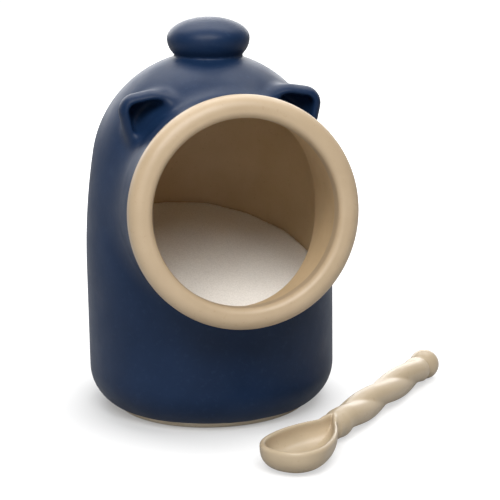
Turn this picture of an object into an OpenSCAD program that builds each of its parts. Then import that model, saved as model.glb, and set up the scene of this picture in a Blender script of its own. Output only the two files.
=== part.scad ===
// Domed stoneware salt pig with a rolled mouth, a pair of cupped ears and a knob on its crown,
// filled with salt, and the glazed spoon that lies beside it.
// The origin is the centre of the foot on the table, +Z is up and the mouth faces -Y.

/* [Pot] */
// Widest diameter of the pot
body_d = 120; // [100:1:150]
// Height of the crown above the table, without the knob
body_h = 172.5; // [160:0.5:220]
// Thickness of the clay wall
wall = 5.2; // [4:0.1:7]
// Thickness of the clay floor
floor_t = 6; // [4:0.1:9]
// Thickness of the pale glaze inside
glaze_t = 0.8; // [0.4:0.1:1.2]
// Radius of the rounded bottom edge
corner_r = 20; // [14:0.5:26]
// How much tighter the round of the crown is than the pot's own radius
crown_in = 4; // [1:0.5:8]
// Radius of the long shallow bow between the straight side and the crown
bow_r = 320; // [220:5:600]

/* [Foot] */
// Height of the bare foot ring
foot_h = 2.2; // [1:0.1:4]
// Width of the foot ring's band
foot_w = 9; // [6:0.5:14]
// How far the foot ring stands in from the pot's lower edge
foot_in = 2; // [1:0.1:4]
// Bevel on the foot ring's lower edges
foot_bevel = 0.7; // [0.3:0.1:0.9]

/* [Mouth] */
// How far the mouth's centre lies below the crown
mouth_drop = 63.4; // [60:0.2:70]
// How far the rim stands proud of the pot's side
mouth_proud = 14.5; // [10:0.5:25]
// Upward tilt of the mouth in degrees
mouth_tilt = 6.5; // [0:0.5:12]
// Clear diameter of the throat, inside the rolled rim
throat_d = 84.2; // [70:0.2:90]
// Width of the rolled rim from throat to outer edge
lip_w = 10.3; // [8:0.1:12]
// How far the rolled rim's crown stands in front of its widest circle
lip_front = 6.2; // [5:0.1:8]
// How far the rolled rim reaches back along the neck
lip_back = 6.5; // [5:0.1:9]
// How much wider the tube behind the rim is than the throat, on the radius
undercut = 3.6; // [2:0.1:4.5]
// Thickness of the pale inner sleeve of the mouth
sleeve_t = 2; // [1.5:0.1:3]
// Thickness of the neck outside the sleeve
neck_t = 2.8; // [2:0.1:3.4]

/* [Knob] */
// Diameter of the knob
knob_d = 39.4; // [30:0.2:50]
// Thickness of the knob
knob_t = 19.8; // [14:0.2:26]
// Height of the knob's middle above the crown
knob_rise = 6.3; // [5:0.1:10]
// Diameter of the waist under the knob
waist_d = 33; // [24:0.2:36]
// How far the hand-set knob sits to the right of the pot's axis
knob_x = 1.3; // [-2:0.1:2]

/* [Ears] */
// Sideways place of an ear's centre, as a share of the pot's radius
ear_side_share = 0.532; // [0.45:0.002:0.62]
// How far in front of the pot's axis an ear's centre lies, as a share of the pot's radius
ear_front_share = 0.504; // [0.45:0.002:0.6]
// How far an ear's open face stands in front of its centre
ear_out = 6; // [0:0.5:8]
// How far an ear's centre lies below the crown
ear_drop = 27.6; // [25:0.1:32]
// Radius of the round of an ear
ear_r = 14.6; // [12:0.1:17]
// Reach of an ear's tip from its centre
ear_reach = 17.5; // [16:0.1:21]
// Radius of the tip's round
ear_tip_r = 8.2; // [6:0.1:11]
// Direction of the tip above the level, in degrees
ear_tip_dir = 34; // [20:0.5:70]
// Thickness of an ear
ear_wall = 4.4; // [2.6:0.1:4.6]

/* [Salt] */
// How far the salt's level at the pot's axis lies below the mouth's centre
salt_drop = 37.2; // [30:0.2:45]
// Slope of the heaped salt in degrees
salt_slope = 19.2; // [0:0.2:25]
// Side to which the salt slopes down, in degrees to the right of the mouth
salt_dir = 17.8; // [-40:0.2:40]

/* [Spoon] */
// Place of the ball end's centre, to the right of the pot's axis
spoon_x = 111.3; // [105:0.1:140]
// Place of the ball end's centre, in front of the pot's axis
spoon_y = 0.8; // [0:0.1:20]
// Angle between the spoon and the mouth's face, in degrees
spoon_turn = 47.5; // [40:0.5:50]
// Length from the ball end's centre to the front of the bowl
spoon_l = 160.5; // [150:0.5:175]
// Diameter of the ball end
ball_d = 15; // [13:0.1:17]
// Depth of the groove that parts the ball end from the handle
ball_groove = 3.3; // [2.4:0.1:4]
// Radius of the twisted handle in the grooves between its two strands
handle_r = 5.9; // [5:0.05:7]
// Height of the strands above the grooves
ridge_h = 1.35; // [0.5:0.05:2]
// Length of one full turn of the twist
twist_pitch = 76; // [50:1:120]
// Phase of the twist where the handle leaves the bowl, in degrees
twist_phase = 20; // [-90:5:90]
// Length of the bowl
bowl_l = 55; // [45:0.5:65]
// Width of the bowl
bowl_w = 31; // [26:0.5:38]
// Height of the bowl with its rim
bowl_h = 12.6; // [10:0.1:16]
// Thickness of the bowl's wall
bowl_t = 2.6; // [2:0.1:3.2]
// Length of the plain stem between bowl and handle
stem_l = 4; // [3:0.5:10]
// Radius of that stem
stem_r = 6.1; // [4.5:0.1:6.4]
// Length of the bowl's rounded front, from its widest place
bowl_front = 15.5; // [12:0.5:20]

/* [Hidden] */

// Number of sides that only the preview uses for what is truly round
$fn = 96;
// Sides of the round shapes that a hull joins
hull_sides = 32;
// One overrun for every cut
over = 1;

body_r = body_d / 2;
crown_r = body_r - crown_in;
crown_z = body_h - crown_r;
// The bow is tangent to the straight side and to the crown
bow_z = crown_z - sqrt(pow(bow_r - crown_r, 2) - pow(bow_r - body_r, 2));
bow_angle = asin((crown_z - bow_z) / (bow_r - crown_r));
// Radius of the pot's lower edge, where the foot height cuts the rounded bottom
edge_r = body_r - corner_r + sqrt(pow(corner_r, 2) - pow(corner_r - foot_h, 2));
foot_r = edge_r - foot_in;
// Height of the cavity's floor
floor_z = foot_h + floor_t;
lining = wall + glaze_t;

mouth_z = body_h - mouth_drop;
mouth_y = body_r + mouth_proud;
throat_r = throat_d / 2;
tube_r = throat_r + undercut;
sleeve_r = tube_r + sleeve_t;
neck_r = sleeve_r + neck_t;
rim_r = throat_r + lip_w;
// The tube runs back from the rim at least to the pot's axis
tube_l = mouth_y;
// Radii of the rolled rim's rounds, outside and inside
lip_out_share = 0.58;
lip_in_share = 0.31;
lip_back_share = 0.38;
lip_out_r = lip_w * lip_out_share;
lip_in_r = lip_w * lip_in_share;
lip_back_r = lip_w * lip_back_share;

knob_r = knob_d / 2;
knob_z = body_h + knob_rise;
waist_r = waist_d / 2;
// Half thickness of the knob, and the centre of its round edge below the middle
knob_half = knob_t / 2;
knob_edge_x = knob_r - knob_half;
// The waist flares a little where it meets the crown
flare_share = 0.2;
seat_r = waist_r + knob_edge_x * flare_share;
seat_z = crown_z + sqrt(pow(crown_r, 2) - pow(seat_r, 2));

stem_x = spoon_l - bowl_l - stem_l;
ball_r = ball_d / 2;
// The ball ends where its radius is down by the groove's depth
handle_x = sqrt(pow(ball_r, 2) - pow(ball_r - ball_groove, 2));
handle_l = stem_x - handle_x;
handle_z = handle_r + ridge_h;
// Steps round the handle and along it
handle_sides = 28;
handle_slices = 44;
// Steps round the bowl and up its walls
bowl_sides = 40;
bowl_steps = 8;
// Squareness of the bowl's section: 1 is an ellipse
bowl_square_share = 0.72;
// Powers that draw the bowl's outline, blunt in front and drawn out behind
front_share = 0.85;
back_share = 2.2;
// The rim of the bowl is half round on top of the wall
rim_round = bowl_t / 2;
rim_z = bowl_h - rim_round;

glaze_blue = [0.14, 0.19, 0.3];
glaze_cream = [0.86, 0.77, 0.63];
bare_clay = [0.78, 0.68, 0.54];
salt_white = [0.93, 0.91, 0.88];

// Steps of the rounds
corner_steps = 8;
bow_steps = 6;
crown_steps = 18;
lip_steps = 8;
knob_steps = 12;
rim_steps = 3;

// Points of an arc, from one angle to another in the given number of steps
function arc(cx, cy, r, a0, a1, steps) =
    [for (i = [0:steps]) let (a = a0 + (a1 - a0) * i / steps) [cx + r * cos(a), cy + r * sin(a)]];

// Half section of the pot's form, moved inwards by inset and cut off level at bottom:
// a rounded lower edge, a straight side, a shallow bow and the round of the crown
module pot_section(inset, bottom) {
    edge_a = -asin((corner_r - bottom) / (corner_r - inset));
    polygon(concat(
        [[0, bottom]],
        arc(body_r - corner_r, corner_r, corner_r - inset, edge_a, 0, corner_steps),
        arc(body_r - bow_r, bow_z, bow_r - inset, 0, bow_angle, bow_steps),
        arc(0, crown_z, crown_r - inset, bow_angle + (90 - bow_angle) / crown_steps, 90, crown_steps - 1)
    ));
}

module pot_form(inset, bottom) {
    rotate_extrude() pot_section(inset, bottom);
}

// Puts its children on the mouth's axis, with +Z pointing out of the mouth
module at_mouth() {
    translate([0, -mouth_y, mouth_z]) rotate([90 - mouth_tilt, 0, 0]) children();
}

module mouth_bore(r) {
    at_mouth() translate([0, 0, -tube_l]) cylinder(r = r, h = tube_l);
}

module pot_shell() {
    color(glaze_blue) difference() {
        pot_form(0, foot_h);
        pot_form(wall, floor_z);
        mouth_bore(sleeve_r);
    }
}

module foot_ring() {
    in_r = foot_r - foot_w;
    color(bare_clay) rotate_extrude() polygon([
        [in_r + foot_bevel, 0],
        [foot_r - foot_bevel, 0],
        [foot_r, foot_bevel],
        [foot_r, foot_h],
        [in_r, foot_h],
        [in_r, foot_bevel]
    ]);
}

module inner_glaze() {
    color(glaze_cream) difference() {
        pot_form(wall, floor_z);
        pot_form(lining, floor_z + glaze_t);
        mouth_bore(sleeve_r);
    }
}

// The neck is a short tube, luted over the opening in the pot's side
module mouth_neck() {
    color(glaze_blue) difference() {
        at_mouth() rotate_extrude() polygon([
            [sleeve_r, -tube_l],
            [neck_r, -tube_l],
            [neck_r, -lip_back],
            [sleeve_r, -lip_back]
        ]);
        pot_form(0, foot_h);
    }
}

// The rim is a roll that overhangs the tube inside and the neck outside
module mouth_rim() {
    out_c = rim_r - lip_out_r;
    in_c = throat_r + lip_in_r;
    back_c = rim_r - lip_back_r;
    back_z = lip_back_r - lip_back;
    color(glaze_cream) difference() {
        at_mouth() rotate_extrude() polygon(concat(
            [[tube_r, -tube_l], [sleeve_r, -tube_l], [sleeve_r, -lip_back]],
            arc(back_c, back_z, lip_back_r, -90, 0, lip_steps),
            arc(out_c, lip_front - lip_out_r, lip_out_r, 0, 90, lip_steps),
            arc(in_c, lip_front - lip_in_r, lip_in_r, 90, 180, lip_steps),
            arc(tube_r, -undercut / 2, undercut, 180, 270, lip_steps)
        ));
        pot_form(lining, floor_z + glaze_t);
    }
}

// The knob is a flattened ball on a short waist, seated on the crown
module knob() {
    waist_a = -acos((waist_r - knob_edge_x) / knob_half);
    color(glaze_blue) difference() {
        translate([knob_x, 0, 0]) rotate_extrude() polygon(concat(
            [[0, crown_z], [seat_r, crown_z], [seat_r, seat_z]],
            arc(knob_edge_x, knob_z, knob_half, waist_a, 0, knob_steps),
            [for (i = [1:knob_steps]) let (a = 90 * i / knob_steps)
                [knob_r * cos(a), knob_z + knob_half * sin(a)]]
        ));
        pot_form(0, foot_h);
    }
}

// A rounded lobe with a drawn-out tip, both reduced by inset, drawn out to the front
module ear_lobe(inset) {
    tip = ear_reach - ear_tip_r;
    hull() for (y = [0, -ear_out]) translate([0, y, 0]) {
        sphere(r = ear_r - inset, $fn = hull_sides);
        translate([-tip * cos(ear_tip_dir), 0, tip * sin(ear_tip_dir)])
            sphere(r = ear_tip_r - inset, $fn = hull_sides);
    }
}

// The left ear is a cup that opens to the front and leans on the pot's shoulder
module ear_form() {
    size = 2 * (ear_reach + over);
    centre = [-body_r * ear_side_share, -body_r * ear_front_share, body_h - ear_drop];
    difference() {
        translate(centre) difference() {
            ear_lobe(0);
            ear_lobe(ear_wall);
            translate([-size / 2, -size - ear_out, -size / 2]) cube(size);
        }
        pot_form(0, foot_h);
        mouth_bore(neck_r);
    }
}

module ear_left() {
    color(glaze_blue) ear_form();
}

module ear_right() {
    color(glaze_blue) mirror([1, 0, 0]) ear_form();
}

// The salt fills the cavity up to a sloping surface
module salt_fill() {
    color(salt_white) intersection() {
        pot_form(lining, floor_z + glaze_t);
        translate([0, 0, mouth_z - salt_drop]) rotate([0, 0, salt_dir]) rotate([salt_slope, 0, 0])
            translate([0, 0, -body_h]) cylinder(r = body_h, h = body_h);
    }
}

// Puts its children on the spoon, with +X from the ball end's centre to the bowl and the table at z = 0
module at_spoon() {
    translate([spoon_x, -spoon_y, 0]) rotate([0, 0, spoon_turn + 180]) children();
}

// One level outline of the bowl, moved inwards by inset, shrunk by share and at height z:
// blunt in front of its widest place and drawn out to the stem behind it
function bowl_ring(inset, share, z) =
    [for (i = [0:bowl_sides - 1]) let (t = 360 * i / bowl_sides, c = cos(t), s = sin(t),
        reach = (c > 0 ? bowl_front : bowl_l - bowl_front) - inset,
        half = (bowl_w / 2 - inset) * sign(s) * pow(abs(s), c > 0 ? front_share : back_share))
        [spoon_l - bowl_front + share * reach * c, share * half, z]];

// A closed form through level rings, with a point in the middle of each end
module loft(rings) {
    n = bowl_sides;
    last = len(rings) * n;
    ends = [for (r = [rings[0], rings[len(rings) - 1]]) [spoon_l - bowl_front, 0, r[0][2]]];
    sides = [for (k = [0:len(rings) - 2], i = [0:n - 1]) let (j = (i + 1) % n)
        each [[k * n + i, (k + 1) * n + j, k * n + j], [k * n + i, (k + 1) * n + i, (k + 1) * n + j]]];
    bottom = [for (i = [0:n - 1]) [last, i, (i + 1) % n]];
    top = [for (i = [0:n - 1]) [last + 1, last - n + (i + 1) % n, last - n + i]];
    polyhedron(concat([for (r = rings) each r], ends), concat(sides, bottom, top));
}

// Rings of the bowl's wall, from its lowest level up to where the rim's round begins
function wall_rings(inset, low) =
    [for (i = [1:bowl_steps]) let (t = 90 * i / bowl_steps, drop = pow(cos(t), bowl_square_share))
        bowl_ring(inset, pow(sin(t), bowl_square_share), rim_z - (rim_z - low) * drop)];

module spoon_bowl() {
    outside = [for (i = [1:rim_steps]) let (t = 90 * i / rim_steps)
        bowl_ring(rim_round * (1 - cos(t)), 1, rim_z + rim_round * sin(t))];
    inside = [for (i = [1:rim_steps]) let (t = 90 * i / rim_steps)
        bowl_ring(bowl_t - rim_round * (1 - cos(t)), 1, rim_z + rim_round * sin(t))];
    color(glaze_cream) at_spoon() difference() {
        union() {
            loft(concat(wall_rings(0, 0), outside));
            translate([stem_x, 0, handle_z]) rotate([0, 90, 0]) cylinder(r = stem_r, h = stem_l + stem_r);
            translate([stem_x + stem_l + stem_r, 0, handle_z]) sphere(r = stem_r);
        }
        loft(concat(wall_rings(bowl_t, bowl_t), inside, [bowl_ring(bowl_t - rim_round, 1, bowl_h + over)]));
        translate([stem_x, -stem_r, bowl_h]) cube([stem_l + stem_r * 3, 2 * stem_r, 2 * stem_r]);
    }
}

// The handle is a bar of two strands with sharp grooves, twisted about its own axis
module spoon_handle() {
    color(glaze_cream) at_spoon() translate([stem_x, 0, handle_z]) rotate([0, -90, 0])
        linear_extrude(height = handle_l, twist = 360 * handle_l / twist_pitch, slices = handle_slices,
            $fn = handle_sides)
            polygon([for (i = [0:handle_sides - 1]) let (t = 360 * i / handle_sides,
                r = handle_r + ridge_h * abs(cos(t - twist_phase / 2))) [r * cos(t), r * sin(t)]]);
}

module spoon_ball_end() {
    color(glaze_cream) at_spoon() intersection() {
        translate([0, 0, ball_r]) sphere(r = ball_r);
        translate([-ball_d, -ball_d, 0]) cube([ball_d + handle_x, 2 * ball_d, ball_d]);
    }
}

pot_shell();
foot_ring();
inner_glaze();
mouth_neck();
mouth_rim();
knob();
ear_left();
ear_right();
salt_fill();
spoon_bowl();
spoon_handle();
spoon_ball_end();
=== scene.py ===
import math

import bpy
import numpy as np
from mathutils import Matrix, Vector


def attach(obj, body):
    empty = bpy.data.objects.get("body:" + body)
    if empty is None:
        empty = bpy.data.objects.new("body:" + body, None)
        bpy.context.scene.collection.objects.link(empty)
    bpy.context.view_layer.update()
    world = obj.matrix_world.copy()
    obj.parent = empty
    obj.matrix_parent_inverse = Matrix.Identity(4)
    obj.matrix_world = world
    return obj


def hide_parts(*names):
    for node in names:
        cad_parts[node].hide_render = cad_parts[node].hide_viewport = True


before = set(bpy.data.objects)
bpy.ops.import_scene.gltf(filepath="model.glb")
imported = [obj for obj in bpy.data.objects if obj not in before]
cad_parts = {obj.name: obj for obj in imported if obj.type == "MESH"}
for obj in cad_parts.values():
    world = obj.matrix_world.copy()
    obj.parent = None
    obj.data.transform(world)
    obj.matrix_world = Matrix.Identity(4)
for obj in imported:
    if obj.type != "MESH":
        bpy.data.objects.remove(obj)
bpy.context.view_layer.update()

# Lengths are in millimetres, unless a comment says otherwise. These have the values and names of part.scad.
MM = 0.001
BODY_R, BODY_H, WALL, FLOOR_T, GLAZE_T = 60.0, 172.5, 5.2, 6.0, 0.8
CORNER_R, CROWN_R, BOW_R = 20.0, 56.0, 320.0
FOOT_H, FOOT_W, FOOT_IN, FOOT_BEVEL = 2.2, 9.0, 2.0, 0.7
MOUTH_PROUD, MOUTH_DROP, MOUTH_TILT = 14.5, 63.4, 6.5
THROAT_R, LIP_W, LIP_FRONT, LIP_BACK = 42.1, 10.3, 6.2, 6.5
UNDERCUT, SLEEVE_T, NECK_T = 3.6, 2.0, 2.8
KNOB_R, KNOB_T, KNOB_RISE, KNOB_X, WAIST_R = 19.7, 19.8, 6.3, 1.3, 15.7
EAR_X, EAR_Y, EAR_OUT, EAR_DROP, EAR_R = 31.92, 30.24, 6.0, 27.6, 14.6
EAR_REACH, EAR_TIP_R, EAR_TIP_DIR, EAR_WALL = 17.5, 8.2, 34.0, 4.4
SALT_DROP, SALT_SLOPE, SALT_DIR = 37.2, 19.2, 17.8
SPOON_X, SPOON_Y, SPOON_TURN, SPOON_L = 111.3, 0.8, 47.5, 160.5
BALL_R, BALL_GROOVE, HANDLE_R, RIDGE_H = 7.5, 3.3, 5.9, 1.35
TWIST_PITCH, TWIST_PHASE = 76.0, 20.0
BOWL_L, BOWL_W, BOWL_H, BOWL_T, STEM_L, STEM_R = 55.0, 31.0, 12.6, 2.6, 4.0, 6.1
BOWL_FRONT, BOWL_SQUARE, FRONT_POWER, BACK_POWER = 15.5, 0.72, 0.85, 2.2

CROWN_Z = BODY_H - CROWN_R
BOW_Z = CROWN_Z - math.sqrt((BOW_R - CROWN_R) ** 2 - (BOW_R - BODY_R) ** 2)
LINING = WALL + GLAZE_T
FLOOR_Z = FOOT_H + FLOOR_T
KNOB_Z = BODY_H + KNOB_RISE
TUBE_R = THROAT_R + UNDERCUT
SLEEVE_R = TUBE_R + SLEEVE_T
NECK_R = SLEEVE_R + NECK_T
RIM_R = THROAT_R + LIP_W
TILT = math.radians(MOUTH_TILT)
MOUTH_AXIS = np.array([0.0, -math.cos(TILT), math.sin(TILT)])
MOUTH_POINT = np.array([0.0, -BODY_R - MOUTH_PROUD, BODY_H - MOUTH_DROP])
MOUTH_REACH = BODY_R + MOUTH_PROUD
SALT_HEIGHT = MOUTH_POINT[2] - SALT_DROP
STEM_X = SPOON_L - BOWL_L - STEM_L

# Height of the glaze's lower edge, how far it sways and how soft it is, in metres
GLAZE_EDGE, GLAZE_SWAY, GLAZE_SOFT = 0.0036, 0.0003, 0.0002

# The hollow of an ear dips below the pot's round behind a line between the ends of its lip
SCOOP_DEPTH, SCOOP_RUN, SCOOP_LOW = 2.8, 11.0, -0.5
SCOOP_POINT = np.array([-33.0, -34.2, 144.0])
SCOOP_NORMAL = np.array([-0.51, 0.59, 0.62])

# How far two forms grow together where they meet, and how soft an edge is
NECK_FILLET, EAR_FILLET, KNOB_FILLET, WAIST_FILLET = 6.0, 4.0, 0.5, 1.5
EAR_LIP, HOLLOW_CORNER, HOLLOW_EDGE, FOOT_EDGE = 7.0, 5.0, 2.4, 1.2
THROAT_FILLET, SALT_EDGE = 2.0, 2.4
BAR_START_EDGE, BAR_END_EDGE, BALL_FILLET = 5.0, 3.0, 1.2
STEM_FILLET, BOWL_TOP_EDGE, BOWL_LIP_EDGE = 2.5, 2.0, 1.6

# The knob's waist: how far its middle lies below the crown, and half its height. How far behind the
# mouth's point the neck ends
WAIST_DROP, WAIST_HALF, NECK_END = 4.0, 5.0, 5.0

# How far the lining reaches into the wall, the floor and the neck, where the blue body hides it
HIDDEN_WALL, HIDDEN_FLOOR, HIDDEN_SLEEVE, SLEEVE_END = 3.0, 2.2, 0.5, 3.0

# The salt stands this far off the lining, and its surface rises and falls by these heights
SALT_GAP, SALT_SWELL, SALT_RIPPLE = 0.1, 0.35, 0.2

# The twist: the length over which it fades out, its mean and its depth as shares of the ridge, and how
# soft its valley is
TWIST_FADE, TWIST_MEAN, TWIST_DEPTH, TWIST_SOFT = 8.0, 0.62, 1.4, 0.01

# How far the bar reaches into the ball, and how far beyond the stem its radius goes on changing
BAR_IN_BALL, STEM_FADE = 0.8, 2.0

# The rim's roundings at its outer, inner and back edge as shares of its width, how far the turned rings
# stray from round, and how far the foot reaches up into the body
LIP_OUTER, LIP_INNER, LIP_REAR = 0.58, 0.31, 0.38
RIM_WOBBLE, FOOT_WOBBLE, FOOT_BURIED = 0.06, 0.05, 0.4

# Size of the cells that each form is meshed with
BODY_CELL, LINING_CELL, SALT_CELL, SPOON_CELL = 1.3, 1.5, 1.5, 0.75

# Between these values lies most of a noise
NOISE_LOW, NOISE_HIGH = 0.3, 0.7

# The stage, in metres and watts
SURROUND, REFLECTION_FROM, REFLECTION_FULL = 0.14, 0.05, 0.6
# FLOOR_GLOW drops by SHADE_DEPTH round the pot's foot, a painted shadow on the floor placed by
# SHADE_CENTRE, SHADE_IN and SHADE_OUT
FLOOR_HALF, FLOOR_GREY, FLOOR_GLOW, SHADE_DEPTH = 4.0, 0.45, 0.58, 0.32
SHADE_CENTRE, SHADE_IN, SHADE_OUT = (-0.01, 0, 0), 0.05, 0.085
WHITE_FROM, WHITE_FULL = 0.16, 0.5
LIGHTS = (
    ("key", (-0.27, -0.86, 1.1), (0, -0.03, 0.08), (1.2, 0.7), 22),
    ("fill", (-0.6, -1.0, 0.35), (0, -0.05, 0.1), (0.8, 0.6), 1.5),
    ("top", (0.12, 0.42, 1.1), (0, 0, 0.1), (1.5, 0.5), 12),
    ("back", (0.2, 1.5, 0.6), (0, 0, 0.15), (2.0, 0.8), 15),
)
CAMERA_PLACE, CAMERA_FORWARD = (-0.17295, -0.79081, 0.26707), (0.23103, 0.94513, -0.23098)
CAMERA_UP, CAMERA_LENS, CAMERA_SENSOR = (0.06771, 0.22121, 0.97287), 122.4, 36


# Forms, as distance fields that are negative inside

def smooth_min(a, b, k):
    h = np.maximum(k - np.abs(a - b), 0.0) / k
    return np.minimum(a, b) - h * h * k / 4


def smooth_max(a, b, k):
    return -smooth_min(-a, -b, k)


def pot_form(p, inset):
    """The pot's turned form, moved inwards by inset."""
    r, z = np.hypot(p[:, 0], p[:, 1]), p[:, 2]
    crown = np.hypot(r, z - CROWN_Z) - CROWN_R
    bow = np.hypot(r - BODY_R + BOW_R, z - BOW_Z) - BOW_R
    bow_end = (z - CROWN_Z) * (BOW_R - BODY_R) > r * (CROWN_Z - BOW_Z)
    side = r - BODY_R
    corner = np.hypot(np.maximum(r - BODY_R + CORNER_R, 0), z - CORNER_R) - CORNER_R
    d = np.where(bow_end, crown, np.where(z > BOW_Z, bow, np.where(z > CORNER_R, side, corner)))
    return d + inset


def mouth_parts(p):
    """Height along the mouth's axis and distance from it."""
    q = p - MOUTH_POINT
    h = q @ MOUTH_AXIS
    return h, np.linalg.norm(q - np.outer(h, MOUTH_AXIS), axis=1)


def knob_form(p):
    r, z = np.hypot(p[:, 0] - KNOB_X, p[:, 1]), p[:, 2] - KNOB_Z
    half = KNOB_T / 2
    k0 = np.hypot(r / KNOB_R, z / half) + 1e-9
    k1 = np.hypot(r / KNOB_R ** 2, z / half ** 2) + 1e-9
    upper = k0 * (k0 - 1) / k1
    lower = np.hypot(np.maximum(r - KNOB_R + half, 0), z) - half
    return np.where(z > 0, upper, lower)


def round_cone(p, a, b, ra, rb):
    """Two spheres and the cone that joins them."""
    ba = b - a
    l2 = ba @ ba
    rr = ra - rb
    a2 = l2 - rr * rr
    pa = p - a
    y = pa @ ba
    z = y - l2
    x2 = ((pa * l2 - np.outer(y, ba)) ** 2).sum(1)
    y2, z2 = y * y * l2, z * z * l2
    k = np.sign(rr) * rr * rr * x2
    d = (np.sqrt(x2 * a2 / l2) + y * rr) / l2 - ra
    d = np.where(np.sign(y) * a2 * y2 < k, np.sqrt(x2 + y2) / l2 - ra, d)
    return np.where(np.sign(z) * a2 * z2 > k, np.sqrt(x2 + z2) / l2 - rb, d)


def ear_form(p):
    """Both ears at once, by mirroring: a cup with a soft lip, open to the front, its hollow and its dip."""
    q = p.copy()
    q[:, 0] = -np.abs(q[:, 0])
    a = np.array([-EAR_X, -EAR_Y, BODY_H - EAR_DROP])
    tip = EAR_REACH - EAR_TIP_R
    dir_ = math.radians(EAR_TIP_DIR)
    b = a + tip * np.array([-math.cos(dir_), 0, math.sin(dir_)])
    out = np.clip(-EAR_Y - q[:, 1], 0, EAR_OUT)
    lobe = round_cone(q + np.outer(out, [0, 1, 0]), a, b, EAR_R, EAR_TIP_R)
    solid = smooth_max(lobe, -EAR_Y - EAR_OUT - q[:, 1], EAR_LIP)
    behind = SCOOP_NORMAL @ (q.T - SCOOP_POINT[:, None])
    depth = np.clip(behind / SCOOP_RUN, SCOOP_LOW, 1) * SCOOP_DEPTH
    return solid, lobe + EAR_WALL, depth


def body_form(p):
    """The blue outside: dome, neck, ears and knob grown together, over the hollow."""
    h, rho = mouth_parts(p)
    dome = pot_form(p, 0)
    neck = np.maximum(rho - NECK_R, -h - MOUTH_REACH)
    base = smooth_min(dome, neck, NECK_FILLET)
    ear, scoop, depth = ear_form(p)
    d = smooth_min(base, ear, EAR_FILLET)
    scoop = smooth_max(scoop, -base - depth, HOLLOW_CORNER)
    d = smooth_max(d, -scoop, HOLLOW_EDGE)
    round_waist = np.hypot(p[:, 0] - KNOB_X, p[:, 1]) - WAIST_R
    waist = np.maximum(round_waist, np.abs(p[:, 2] - BODY_H + WAIST_DROP) - WAIST_HALF)
    knob = smooth_min(knob_form(p), waist, WAIST_FILLET)
    d = smooth_min(d, knob, KNOB_FILLET)
    d = np.maximum(d, h + NECK_END)
    d = smooth_max(d, FOOT_H - p[:, 2], FOOT_EDGE)
    hollow = np.maximum(pot_form(p, WALL), FLOOR_Z - p[:, 2])
    bore = np.maximum(rho - SLEEVE_R, -h - MOUTH_REACH)
    return np.maximum(np.maximum(d, -hollow), -bore)


def lining_form(p):
    """The cream inside: the coat on the hollow and the tube of the mouth, with a soft edge between them."""
    h, rho = mouth_parts(p)
    hollow = np.maximum(pot_form(p, LINING), FLOOR_Z + GLAZE_T - p[:, 2])
    bore = np.maximum(rho - TUBE_R, -h - MOUTH_REACH)
    void = smooth_min(hollow, bore, THROAT_FILLET)
    coat = np.maximum(pot_form(p, LINING - HIDDEN_WALL), FLOOR_Z - HIDDEN_FLOOR - p[:, 2])
    sleeve = np.maximum(np.maximum(rho - SLEEVE_R - HIDDEN_SLEEVE, h + SLEEVE_END), -h - MOUTH_REACH)
    return np.maximum(np.minimum(coat, sleeve), -void)


def salt_form(p):
    """Salt up to a gently uneven slope that rounds down where it meets the wall."""
    s, t = math.radians(SALT_SLOPE), math.radians(SALT_DIR)
    n = np.array([math.sin(s) * math.sin(t), -math.sin(s) * math.cos(t), math.cos(s)])
    level = (p - np.array([0, 0, SALT_HEIGHT])) @ n
    x, y = p[:, 0], p[:, 1]
    level = level + SALT_SWELL * np.sin(x / 9 + 1) * np.cos(y / 11)
    level = level + SALT_RIPPLE * np.sin(x / 4.3 - y / 5.1)
    hollow = np.maximum(pot_form(p, LINING + SALT_GAP), FLOOR_Z + GLAZE_T + SALT_GAP - p[:, 2])
    return smooth_max(hollow, level, SALT_EDGE)


def bowl_level(x, y, inset):
    """How far out a point lies in the bowl's outline, 1 on the outline."""
    front = x > 0
    reach = np.where(front, BOWL_FRONT, BOWL_L - BOWL_FRONT) - inset
    u = np.abs(x) / reach
    v = np.abs(y) / (BOWL_W / 2 - inset) + 1e-9
    q = np.where(front, 2 / FRONT_POWER, 2 / BACK_POWER)
    lo, hi = np.full_like(u, 1e-3), np.full_like(u, 60.0)
    for _ in range(34):
        mid = np.sqrt(lo * hi)
        out = (u / mid) ** 2 + (v / mid) ** q > 1
        lo, hi = np.where(out, mid, lo), np.where(out, hi, mid)
    return np.sqrt(lo * hi)


def bowl_cup(p, inset, low):
    """The bowl's form inside one surface, as a level set that is 0 on it."""
    e = 2 / BOWL_SQUARE
    rim_z = BOWL_H - BOWL_T / 2
    drop = np.maximum(rim_z - p[:, 2], 0) / (rim_z - low)
    out = bowl_level(p[:, 0] - SPOON_L + BOWL_FRONT, p[:, 1], inset)
    return ((out ** e + drop ** e) ** (1 / e) - 1) * 9


def scaled(form, p, *args):
    """A level set divided by the length of its gradient, close to a distance."""
    e = 0.05
    d = form(p, *args)
    g = np.stack([(form(p + s, *args) - d) / e for s in np.eye(3) * e], axis=1)
    return d / np.maximum(np.linalg.norm(g, axis=1), 0.15)


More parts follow.
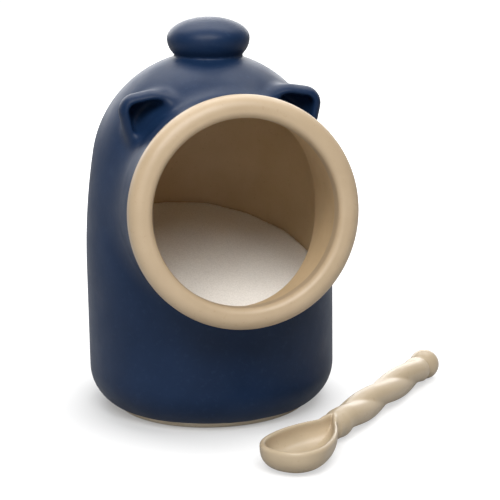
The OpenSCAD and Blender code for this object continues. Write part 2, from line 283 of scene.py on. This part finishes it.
def handle_form(p):
    """The twisted bar with rounded ends, and the ball."""
    u, v, w = p[:, 0], p[:, 1], p[:, 2] - HANDLE_R - RIDGE_H
    start = math.sqrt(BALL_R ** 2 - (BALL_R - BALL_GROOVE) ** 2)
    theta = np.arctan2(v, w)
    turn = 2 * math.pi * (u - STEM_X) / TWIST_PITCH
    ridge = np.clip((STEM_X - u) / TWIST_FADE, 0, 1) * np.clip((u - start) / TWIST_FADE, 0, 1)
    swing = np.sqrt(np.cos(theta + turn - math.radians(TWIST_PHASE / 2)) ** 2 + TWIST_SOFT)
    wave = TWIST_DEPTH * swing - (TWIST_DEPTH - 1)
    r = HANDLE_R + RIDGE_H * (TWIST_MEAN + ridge * (wave - TWIST_MEAN))
    rho = np.hypot(v, w)
    neck = np.clip((u - STEM_X) / (STEM_L + STEM_FADE), 0, 1)
    r = r + (STEM_R - r) * neck * neck * (3 - 2 * neck)
    bar = smooth_max(rho - r, start - BAR_IN_BALL - u, BAR_START_EDGE)
    bar = smooth_max(bar, u - STEM_X - STEM_L - STEM_R, BAR_END_EDGE)
    ball = np.linalg.norm(p - np.array([0, 0, BALL_R]), axis=1) - BALL_R
    return smooth_min(bar, ball, BALL_FILLET)


def spoon_form(p):
    outer = scaled(bowl_cup, p, 0, 0)
    outer = smooth_max(outer, p[:, 2] - BOWL_H, BOWL_TOP_EDGE)
    solid = smooth_min(outer, handle_form(p), STEM_FILLET)
    inner = scaled(bowl_cup, p, BOWL_T, BOWL_T)
    return smooth_max(np.maximum(solid, -p[:, 2]), -inner, BOWL_LIP_EDGE)


# Meshes

def gradient(form, p, e=0.02):
    d = [(form(p + s) - form(p - s)) / (2 * e) for s in np.eye(3) * e]
    return np.stack(d, axis=1)


def onto(form, p, limit, rounds):
    """Moves points onto the form's surface."""
    for _ in range(rounds):
        g = gradient(form, p)
        step = (form(p) / np.maximum((g * g).sum(1), 0.05))[:, None] * g
        size = np.linalg.norm(step, axis=1, keepdims=True)
        p = p - step * np.minimum(1, limit / np.maximum(size, 1e-9))
    return p


def relaxed(p, faces):
    """Each point halfway to the middle of its neighbours."""
    total, count = np.zeros_like(p), np.zeros(len(p))
    for k in range(4):
        a, b = faces[:, k], faces[:, (k + 1) % 4]
        np.add.at(total, a, p[b])
        np.add.at(total, b, p[a])
        np.add.at(count, a, 1)
        np.add.at(count, b, 1)
    return (p + total / count[:, None]) / 2


def surface(form, lo, hi, step):
    """A closed mesh of a form, by surface nets: points and faces with four corners."""
    axes = [np.arange(a, b + step, step) for a, b in zip(lo, hi)]
    shape = tuple(len(a) for a in axes)
    grid = np.stack(np.meshgrid(*axes, indexing="ij"), axis=-1).reshape(-1, 3)
    value = np.concatenate([form(part) for part in np.array_split(grid, 40)]).reshape(shape)
    inside = value < 0
    count = sum(inside[i:shape[0] - 1 + i, j:shape[1] - 1 + j, k:shape[2] - 1 + k].astype(int)
                for i in (0, 1) for j in (0, 1) for k in (0, 1))
    mixed = (count > 0) & (count < 8)
    index = -np.ones(mixed.shape, int)
    index[mixed] = np.arange(mixed.sum())
    cells = np.argwhere(mixed)
    points = np.array(lo) + (cells + 0.5) * step
    faces = []
    for axis in range(3):
        a, b = (axis + 1) % 3, (axis + 2) % 3
        first = [slice(1, -1)] * 3
        first[axis] = slice(0, -1)
        second = list(first)
        second[axis] = slice(1, None)
        here = np.argwhere(inside[tuple(first)] != inside[tuple(second)])
        here[:, a] += 1
        here[:, b] += 1
        da, db = np.zeros(3, int), np.zeros(3, int)
        da[a], db[b] = 1, 1
        ring = [index[tuple((here - s).T)] for s in (da + db, db, 0 * da, da)]
        quad = np.stack(ring, axis=1)
        flip = ~inside[tuple(here.T)]
        quad[flip] = quad[flip][:, ::-1]
        faces.append(quad)
    faces = np.concatenate(faces)
    points = onto(form, points, step, 3)
    for _ in range(3):
        points = onto(form, relaxed(points, faces), step, 1)
    return onto(form, points, step / 2, 2), faces


def add_mesh(name, points, faces, material, body, nodes):
    mesh = bpy.data.meshes.new(name)
    mesh.from_pydata((np.asarray(points) * MM).tolist(), [], np.asarray(faces).tolist())
    mesh.polygons.foreach_set("use_smooth", [True] * len(mesh.polygons))
    mesh.materials.append(material)
    mesh.update()
    obj = bpy.data.objects.new(name, mesh)
    bpy.context.scene.collection.objects.link(obj)
    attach(obj, body)
    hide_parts(*nodes)


def arc(cx, cy, r, a0, a1, steps):
    t = np.radians(np.linspace(a0, a1, steps + 1))
    return np.stack([cx + r * np.cos(t), cy + r * np.sin(t)], axis=1)


def lathe(profile, sides, wobble):
    """A closed ring turned about +Z, from a closed profile of (radius, height)."""
    n = len(profile)
    t = 2 * np.pi * np.arange(sides) / sides
    swell = wobble * (np.sin(2 * t + 0.7) + 0.6 * np.sin(3 * t + 2.1) + 0.4 * np.sin(5 * t))
    r = profile[None, :, 0] + swell[:, None]
    z = np.broadcast_to(profile[None, :, 1], r.shape)
    points = np.stack([r * np.cos(t)[:, None], r * np.sin(t)[:, None], z], axis=2).reshape(-1, 3)
    i, j = np.meshgrid(np.arange(sides), np.arange(n), indexing="ij")
    i2, j2 = (i + 1) % sides, (j + 1) % n
    quads = np.stack([i * n + j, i2 * n + j, i2 * n + j2, i * n + j2], axis=-1).reshape(-1, 4)
    return points, quads


def to_mouth(points):
    """From the mouth's own frame, +Z out of the mouth, to the pot's."""
    side = np.array([1.0, 0, 0])
    up = np.cross(MOUTH_AXIS, side)
    return MOUTH_POINT + points @ np.stack([side, up, MOUTH_AXIS])


def to_spoon(points):
    t = math.radians(SPOON_TURN + 180)
    turn = np.array([[math.cos(t), math.sin(t), 0], [-math.sin(t), math.cos(t), 0], [0, 0, 1]])
    return points @ turn + np.array([SPOON_X, -SPOON_Y, 0])


# Materials

class Nodes:
    """Short calls for building one material's node tree."""

    def __init__(self, name):
        self.material = bpy.data.materials.new(name)
        self.material.use_nodes = True
        self.tree = self.material.node_tree
        self.shader = self.tree.nodes["Principled BSDF"]
        self.object_coords = self.tree.nodes.new("ShaderNodeTexCoord").outputs["Object"]
        split = self.tree.nodes.new("ShaderNodeSeparateXYZ")
        self.link(self.object_coords, split.inputs[0])
        self.height = split.outputs["Z"]

    def link(self, source, target):
        self.tree.links.new(source, target)

    def noise(self, scale, detail=3.0, roughness=0.5, stretch=(1, 1, 1)):
        mapping = self.tree.nodes.new("ShaderNodeMapping")
        mapping.inputs["Scale"].default_value = stretch
        self.link(self.object_coords, mapping.inputs["Vector"])
        node = self.tree.nodes.new("ShaderNodeTexNoise")
        node.inputs["Scale"].default_value = scale
        node.inputs["Detail"].default_value = detail
        node.inputs["Roughness"].default_value = roughness
        self.link(mapping.outputs["Vector"], node.inputs["Vector"])
        return node.outputs["Fac"]

    def ramp(self, factor, stops):
        node = self.tree.nodes.new("ShaderNodeValToRGB")
        elements = node.color_ramp.elements
        for element, (place, colour) in zip(elements, stops):
            element.position, element.color = place, (*colour, 1)
        self.link(factor, node.inputs["Fac"])
        return node.outputs["Color"]

    def mix(self, factor, a, b):
        node = self.tree.nodes.new("ShaderNodeMix")
        node.data_type = "RGBA"
        for value, key in ((factor, 0), (a, 6), (b, 7)):
            if isinstance(value, tuple):
                node.inputs[key].default_value = (*value, 1)
            else:
                self.link(value, node.inputs[key])
        return node.outputs[2]

    def sum(self, a, b):
        node = self.tree.nodes.new("ShaderNodeMath")
        self.link(a, node.inputs[0])
        self.link(b, node.inputs[1])
        return node.outputs[0]

    def span(self, value, low, high, to_low, to_high):
        node = self.tree.nodes.new("ShaderNodeMapRange")
        for key, number in (("From Min", low), ("From Max", high), ("To Min", to_low), ("To Max", to_high)):
            node.inputs[key].default_value = number
        self.link(value, node.inputs["Value"])
        return node.outputs["Result"]

    def bump(self, height, strength, distance, before=None):
        node = self.tree.nodes.new("ShaderNodeBump")
        node.inputs["Strength"].default_value = strength
        node.inputs["Distance"].default_value = distance
        self.link(height, node.inputs["Height"])
        if before is not None:
            self.link(before, node.inputs["Normal"])
        return node.outputs["Normal"]

    def finish(self, colour, rough, normal, coat=0.0, coat_rough=0.2, specular=0.5):
        self.link(colour, self.shader.inputs["Base Color"])
        self.link(rough, self.shader.inputs["Roughness"])
        self.link(normal, self.shader.inputs["Normal"])
        self.shader.inputs["Specular IOR Level"].default_value = specular
        self.shader.inputs["Coat Weight"].default_value = coat
        self.shader.inputs["Coat Roughness"].default_value = coat_rough
        return self.material


def clay_colour(m, grain):
    colour = m.ramp(m.noise(60, 4), [(NOISE_LOW, (0.68, 0.58, 0.45)), (NOISE_HIGH, (0.8, 0.71, 0.57))])
    return m.mix(m.span(grain, 0.6, 0.72, 0, 0.5), colour, (0.2, 0.13, 0.08))


def blue_material():
    """Satin glaze that ends in an uneven line a little above the foot, with bare clay below it."""
    m = Nodes("blue_satin_glaze")
    cloud = m.noise(28, 4, 0.55)
    fine = m.noise(420, 3, 0.6)
    base = m.ramp(cloud, [(NOISE_LOW, (0.004, 0.015, 0.045)), (NOISE_HIGH, (0.007, 0.022, 0.062))])
    colour = m.mix(m.span(fine, 0.55, 0.75, 0, 0.5), base, (0.014, 0.032, 0.075))
    edge = m.span(m.noise(70, 3), NOISE_LOW, NOISE_HIGH, -GLAZE_SWAY, GLAZE_SWAY)
    bare = m.span(m.sum(m.height, edge), GLAZE_EDGE - GLAZE_SOFT, GLAZE_EDGE + GLAZE_SOFT, 1, 0)
    colour = m.mix(bare, colour, clay_colour(m, m.noise(900, 4, 0.7)))
    rough = m.span(m.noise(90, 3), NOISE_LOW, NOISE_HIGH, 0.42, 0.5)
    rough = m.sum(rough, m.span(bare, 0, 1, 0, 0.4))
    rings = m.noise(60, 2, 0.5, (0.06, 0.06, 1))
    normal = m.bump(rings, 0.12, 0.0006)
    normal = m.bump(fine, 0.1, 0.0003, normal)
    return m.finish(colour, rough, normal, specular=0.2)


def cream_material(name, low, high, rough_low, rough_high, coat):
    m = Nodes(name)
    cloud = m.noise(35, 4, 0.55)
    speck = m.noise(520, 2, 0.6)
    base = m.ramp(cloud, [(NOISE_LOW, low), (NOISE_HIGH, high)])
    colour = m.mix(m.span(speck, 0.64, 0.74, 0, 0.35), base, (0.36, 0.25, 0.14))
    rough = m.span(m.noise(110, 3), NOISE_LOW, NOISE_HIGH, rough_low, rough_high)
    normal = m.bump(m.noise(75, 2), 0.1, 0.0006)
    normal = m.bump(m.noise(600, 2), 0.05, 0.0002, normal)
    return m.finish(colour, rough, normal, coat=coat, coat_rough=0.1)


def clay_material():
    m = Nodes("bare_clay")
    grain = m.noise(900, 4, 0.7)
    rough = m.span(grain, NOISE_LOW, NOISE_HIGH, 0.8, 0.95)
    return m.finish(clay_colour(m, grain), rough, m.bump(grain, 0.5, 0.0005), specular=0.2)


def salt_material():
    m = Nodes("fine_salt")
    grain = m.noise(1500, 3, 0.7)
    colour = m.ramp(grain, [(NOISE_LOW, (0.72, 0.685, 0.635)), (0.62, (0.86, 0.825, 0.77))])
    normal = m.bump(m.noise(160, 3), 0.25, 0.0008)
    normal = m.bump(grain, 0.35, 0.0004, normal)
    return m.finish(colour, m.span(grain, NOISE_LOW, NOISE_HIGH, 0.75, 0.95), normal, specular=0.3)


# Pieces

def make_body():
    points, faces = surface(body_form, (-62.5, -83, 0), (62.5, 62.5, 191), BODY_CELL)
    nodes = ("pot_shell", "mouth_neck", "knob", "ear_left", "ear_right")
    add_mesh("blue_body", points, faces, blue_material(), "pig", nodes)


def make_lining(material):
    points, faces = surface(lining_form, (-58, -83, 6), (58, 58, 169.5), LINING_CELL)
    add_mesh("inner_lining", points, faces, material, "pig", ("inner_glaze",))


def make_rim(material):
    out_r, in_r, back_r = LIP_W * LIP_OUTER, LIP_W * LIP_INNER, LIP_W * LIP_REAR
    profile = np.concatenate([
        arc(RIM_R - back_r, back_r - LIP_BACK, back_r, -90, 0, 12),
        arc(RIM_R - out_r, LIP_FRONT - out_r, out_r, 0, 90, 20),
        arc(THROAT_R + in_r, LIP_FRONT - in_r, in_r, 90, 180, 16)[1:],
        arc(TUBE_R, -UNDERCUT / 2, UNDERCUT, 180, 300, 16),
    ])
    points, faces = lathe(profile, 288, RIM_WOBBLE)
    add_mesh("mouth_roll", to_mouth(points), faces, material, "pig", ("mouth_rim",))


def make_foot():
    edge_r = BODY_R - CORNER_R + math.sqrt(CORNER_R ** 2 - (CORNER_R - FOOT_H) ** 2)
    r, inner = edge_r - FOOT_IN, edge_r - FOOT_IN - FOOT_W
    profile = np.concatenate([
        arc(inner + FOOT_BEVEL, FOOT_BEVEL, FOOT_BEVEL, 180, 270, 5),
        arc(r - FOOT_BEVEL, FOOT_BEVEL, FOOT_BEVEL, 270, 360, 5),
        [[r, FOOT_H + FOOT_BURIED], [inner, FOOT_H + FOOT_BURIED]],
    ])
    points, faces = lathe(profile, 160, FOOT_WOBBLE)
    add_mesh("turned_foot", points, faces, clay_material(), "pig", ("foot_ring",))


def make_salt():
    points, faces = surface(salt_form, (-56, -56, 7), (56, 56, 100), SALT_CELL)
    add_mesh("salt_heap", points, faces, salt_material(), "pig", ("salt_fill",))


def make_spoon(material):
    points, faces = surface(spoon_form, (-9, -18, -1), (163, 18, 17), SPOON_CELL)
    nodes = ("spoon_bowl", "spoon_handle", "spoon_ball_end")
    add_mesh("glazed_spoon", to_spoon(points), faces, material, "spoon", nodes)


# Stage

def node_math(tree, operation, first, second):
    node = tree.nodes.new("ShaderNodeMath")
    node.operation = operation
    for k, value in enumerate((first, second)):
        if isinstance(value, float):
            node.inputs[k].default_value = value
        else:
            tree.links.new(value, node.inputs[k])
    return node.outputs[0]


def node_span(tree, value, low, high, to_low, to_high):
    node = tree.nodes.new("ShaderNodeMapRange")
    for key, number in (("From Min", low), ("From Max", high), ("To Min", to_low), ("To Max", to_high)):
        node.inputs[key].default_value = number
    tree.links.new(value, node.inputs["Value"])
    return node.outputs["Result"]


def make_world():
    """White to the camera; reflections see it white behind the pot and dim in front of it."""
    world = bpy.data.worlds.new("studio")
    bpy.context.scene.world = world
    world.use_nodes = True
    tree = world.node_tree
    back = tree.nodes["Background"]
    back.inputs["Color"].default_value = (1, 1, 1, 1)
    path = tree.nodes.new("ShaderNodeLightPath").outputs
    place = tree.nodes.new("ShaderNodeTexCoord")
    split = tree.nodes.new("ShaderNodeSeparateXYZ")
    tree.links.new(place.outputs["Generated"], split.inputs[0])
    mirrored = node_math(tree, "MAXIMUM", path["Is Glossy Ray"], path["Is Transmission Ray"])
    seen = node_span(tree, split.outputs["Y"], REFLECTION_FROM, REFLECTION_FULL, 0.0, 1.0)
    reflected = node_math(tree, "MULTIPLY", mirrored, seen)
    strength = node_math(tree, "MAXIMUM", reflected, path["Is Camera Ray"])
    tree.links.new(node_math(tree, "MAXIMUM", strength, SURROUND), back.inputs["Strength"])


def make_floor():
    """Grey, with a glow to the camera that lifts it to white, and a painted shadow round the foot of the
    pot, where the glow is lower.
    """
    corners = [(x * FLOOR_HALF, y * FLOOR_HALF, 0) for x, y in ((-1, -1), (1, -1), (1, 1), (-1, 1))]
    mesh = bpy.data.meshes.new("floor")
    mesh.from_pydata(corners, [], [(0, 1, 2, 3)])
    floor = bpy.data.objects.new("floor", mesh)
    bpy.context.scene.collection.objects.link(floor)
    material = bpy.data.materials.new("floor_white")
    material.use_nodes = True
    tree = material.node_tree
    shader = tree.nodes["Principled BSDF"]
    shader.inputs["Base Color"].default_value = (FLOOR_GREY, FLOOR_GREY, FLOOR_GREY, 1)
    shader.inputs["Roughness"].default_value = 0.9
    shader.inputs["Specular IOR Level"].default_value = 0.0
    shader.inputs["Emission Color"].default_value = (1, 1, 1, 1)
    place = tree.nodes.new("ShaderNodeTexCoord")
    distance = tree.nodes.new("ShaderNodeVectorMath")
    distance.operation = "DISTANCE"
    distance.inputs[1].default_value = SHADE_CENTRE
    tree.links.new(place.outputs["Object"], distance.inputs[0])
    away = distance.outputs["Value"]
    # Painted shadow: round the foot of the pot the glow drops by SHADE_DEPTH, fading out between SHADE_IN
    # and SHADE_OUT
    painted_shadow_glow = node_span(tree, away, SHADE_IN, SHADE_OUT, FLOOR_GLOW - SHADE_DEPTH, FLOOR_GLOW)
    far = node_span(tree, away, WHITE_FROM, WHITE_FULL, 0.0, 1.0 - FLOOR_GLOW)
    glow_here = node_math(tree, "ADD", painted_shadow_glow, far)
    path = tree.nodes.new("ShaderNodeLightPath")
    seen = node_math(tree, "MULTIPLY", glow_here, path.outputs["Is Camera Ray"])
    tree.links.new(seen, shader.inputs["Emission Strength"])
    mesh.materials.append(material)


def make_light(name, place, target, size, power):
    data = bpy.data.lights.new(name, "AREA")
    data.shape = "RECTANGLE"
    data.size, data.size_y = size
    data.energy = power
    light = bpy.data.objects.new(name, data)
    light.location = place
    light.rotation_euler = (Vector(target) - Vector(place)).to_track_quat("-Z", "Y").to_euler()
    bpy.context.scene.collection.objects.link(light)


def make_camera():
    data = bpy.data.cameras.new("camera")
    data.sensor_width = CAMERA_SENSOR
    data.lens = CAMERA_LENS
    camera = bpy.data.objects.new("camera", data)
    forward = Vector(CAMERA_FORWARD).normalized()
    right = forward.cross(Vector(CAMERA_UP)).normalized()
    up = right.cross(forward)
    turn = Matrix((right, up, -forward)).transposed().to_4x4()
    camera.matrix_world = Matrix.Translation(CAMERA_PLACE) @ turn
    bpy.context.scene.collection.objects.link(camera)
    bpy.context.scene.camera = camera


cream = cream_material("cream_rim_glaze", (0.42, 0.315, 0.2), (0.48, 0.365, 0.24), 0.4, 0.48, 0.0)
inside = cream_material("cream_inside_glaze", (0.51, 0.372, 0.21), (0.59, 0.44, 0.268), 0.4, 0.5, 0.0)
spoon_cream = cream_material("spoon_glaze", (0.43, 0.34, 0.225), (0.49, 0.39, 0.265), 0.38, 0.46, 0.15)
make_body()
make_lining(inside)
make_rim(cream)
make_foot()
make_salt()
make_spoon(spoon_cream)

make_world()
make_floor()
for light in LIGHTS:
    make_light(*light)
make_camera()
bpy.context.scene.view_settings.view_transform = "Standard"
